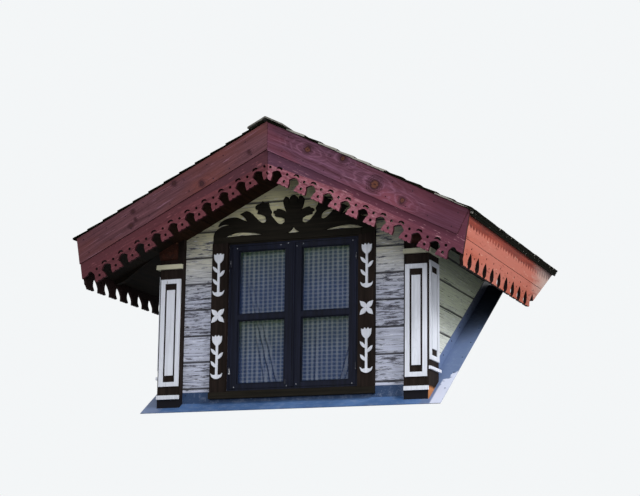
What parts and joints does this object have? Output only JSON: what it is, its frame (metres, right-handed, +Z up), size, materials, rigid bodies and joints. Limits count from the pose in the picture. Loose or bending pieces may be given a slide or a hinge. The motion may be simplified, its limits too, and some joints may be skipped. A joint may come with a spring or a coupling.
{
  "type": "dormer window",
  "caption": "Timber gable dormer with a two-light window, fretwork bargeboards and eaves, a carved crest over the casing, corner pilasters, shingled roof and metal flashing.",
  "frame": {"origin": "middle of the front sole timber's raking underside, on the plane of the main roof's boarding, below the dormer's front wall", "axes": "+X across the front to the viewer's right, +Y back into the main roof, +Z up; the mount face falls towards the front at the main roof's pitch"},
  "size_m": [2.9248, 3.3722, 1.9421],
  "materials": {
    "framing_timber": "sawn softwood",
    "wall_paint": "worn pale grey paint on boards",
    "cheek_paint": "worn cream grey paint on boards",
    "plate_stain": "dark red brown stain",
    "soffit_stain": "dark brown stain",
    "grey_shingle": "weathered grey shingles",
    "burgundy_paint": "burgundy paint with showing knots",
    "fret_paint": "faded red paint",
    "eave_paint": "faded orange red paint",
    "dark_stain": "dark brown stain",
    "white_paint": "white paint",
    "navy_paint": "dark blue paint",
    "hinge_metal": "painted steel",
    "window_glass": "clear window glass",
    "curtain_cloth": "pale blue checked cotton",
    "blue_sheet": "blue coated steel sheet"
  },
  "bodies": {
    "root": {"sole_timbers": "framing_timber", "front_wall": "framing_timber", "front_boards": "wall_paint", "cheek_wall_left": "framing_timber", "cheek_wall_right": "framing_timber", "cheek_boards_left": "cheek_paint", "cheek_boards_right": "cheek_paint", "wall_plate_left": "plate_stain", "wall_plate_right": "plate_stain", "rafters": "framing_timber", "ridge_beam": "framing_timber", "roof_deck_left": "framing_timber", "roof_deck_right": "framing_timber", "soffit_left": "soffit_stain", "soffit_right": "soffit_stain", "shingles_left": "grey_shingle", "shingles_right": "grey_shingle", "ridge_cap": "grey_shingle", "bargeboard_left": "burgundy_paint", "bargeboard_right": "burgundy_paint", "gable_fret_left": "fret_paint", "gable_fret_right": "fret_paint", "fascia_left": "eave_paint", "fascia_right": "eave_paint", "eave_fret_left": "eave_paint", "eave_fret_right": "eave_paint", "corner_boards_left": "dark_stain", "corner_boards_right": "dark_stain", "corner_trim_left": "white_paint", "corner_trim_right": "white_paint", "window_frame": "navy_paint", "sash_left": "navy_paint", "sash_right": "navy_paint", "window_hinges": "hinge_metal", "window_glass": "window_glass", "curtain_rod": "white_paint", "curtains": "curtain_cloth", "casing_left": "dark_stain", "casing_right": "dark_stain", "window_sill": "dark_stain", "crest_board": "dark_stain", "casing_ornaments": "white_paint", "apron_flashing": "blue_sheet", "side_flashing_left": "blue_sheet", "side_flashing_right": "blue_sheet"}
  },
  "joints": []
}
